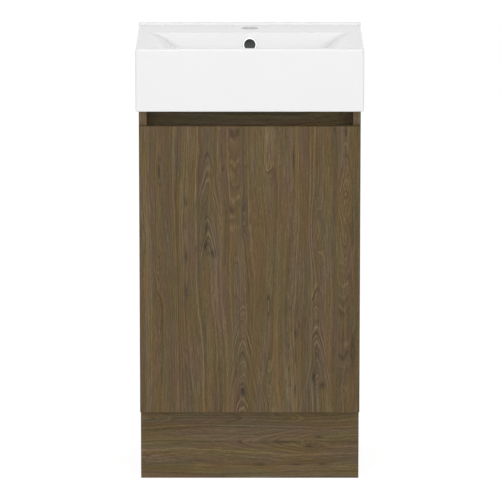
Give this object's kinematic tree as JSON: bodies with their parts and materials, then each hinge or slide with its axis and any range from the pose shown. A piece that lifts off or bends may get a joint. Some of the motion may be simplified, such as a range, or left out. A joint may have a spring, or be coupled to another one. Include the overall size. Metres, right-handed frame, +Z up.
{
  "type": "mini vanity unit",
  "caption": "Compact floor-standing vanity unit: white ceramic basin with tap ledge on a walnut-effect cabinet with a hinged door, finger recess and set-back plinth.",
  "frame": {"origin": "on the floor, under the middle of the unit's overall box", "axes": "+Z up, +Y towards the wall behind the unit, +X to the right seen from the front"},
  "size_m": [0.46, 0.33, 0.902],
  "materials": {
    "glazed_ceramic": "glossy white glaze",
    "chrome": "polished chrome plate",
    "black_rubber": "matt",
    "grey_plastic": "moulded",
    "walnut_board": "walnut-effect melamine-faced board, satin",
    "beech": "plain",
    "zinc": "bright zinc",
    "nickel_steel": "nickel plate",
    "clear_silicone": "clear, soft"
  },
  "bodies": {
    "carcass": {"basin": "glazed_ceramic", "overflow_ring": "chrome", "waste_body": "chrome", "waste_top_seal": "black_rubber", "waste_lower_seal": "black_rubber", "waste_backnut": "grey_plastic", "left_side_panel": "walnut_board", "right_side_panel": "walnut_board", "bottom_panel": "walnut_board", "grip_rail": "walnut_board", "upper_back_rail": "walnut_board", "lower_back_rail": "walnut_board", "shelf": "walnut_board", "plinth_front": "walnut_board", "plinth_left": "walnut_board", "plinth_right": "walnut_board", "plinth_back": "walnut_board", "shelf_pins": "nickel_steel", "cam_locks": "zinc", "cam_bolts": "zinc", "dowels": "beech", "plinth_corner_blocks": "beech", "plinth_screws": "zinc", "upper_hinge_arm": "nickel_steel", "upper_hinge_plate": "nickel_steel", "lower_hinge_arm": "nickel_steel", "lower_hinge_plate": "nickel_steel", "hinge_arm_pins": "nickel_steel", "hinge_plate_screws": "nickel_steel", "hinge_clamp_screws": "nickel_steel"},
    "outer_links": {"upper_hinge_outer_link": "nickel_steel", "lower_hinge_outer_link": "nickel_steel"},
    "door": {"door": "walnut_board", "door_bumpers": "clear_silicone", "upper_hinge_cup": "nickel_steel", "lower_hinge_cup": "nickel_steel", "hinge_cup_pins": "nickel_steel", "hinge_cup_screws": "nickel_steel"},
    "inner_links": {"upper_hinge_inner_link": "nickel_steel", "lower_hinge_inner_link": "nickel_steel"},
    "plug": {"waste_plug": "chrome"}
  },
  "joints": [
    {"name": "outer_link_swing", "type": "hinge", "parent": "carcass", "child": "outer_links", "pos_m": [-0.1895, -0.1383, 0.442], "axis": [0, 0, 1], "range_deg": [0, 26.7]},
    {"name": "door_swing", "type": "hinge", "parent": "outer_links", "child": "door", "pos_m": [-0.21294, -0.14, 0.442], "axis": [0, 0, -1], "range_deg": [0, 121.6]},
    {"name": "inner_link_swing", "type": "hinge", "parent": "door", "child": "inner_links", "pos_m": [-0.21489, -0.14394, 0.442], "axis": [0, 0, 1], "range_deg": [0, 106.1]},
    {"name": "plug_lift", "type": "slide", "parent": "carcass", "child": "plug", "axis": [0, 0, 1], "range_m": [0, 0.008]}
  ],
  "couplings": [
    {"joint": "outer_link_swing", "follows": "door_swing", "ratio": 0.21875},
    {"joint": "inner_link_swing", "follows": "door_swing", "ratio": 0.87172}
  ]
}
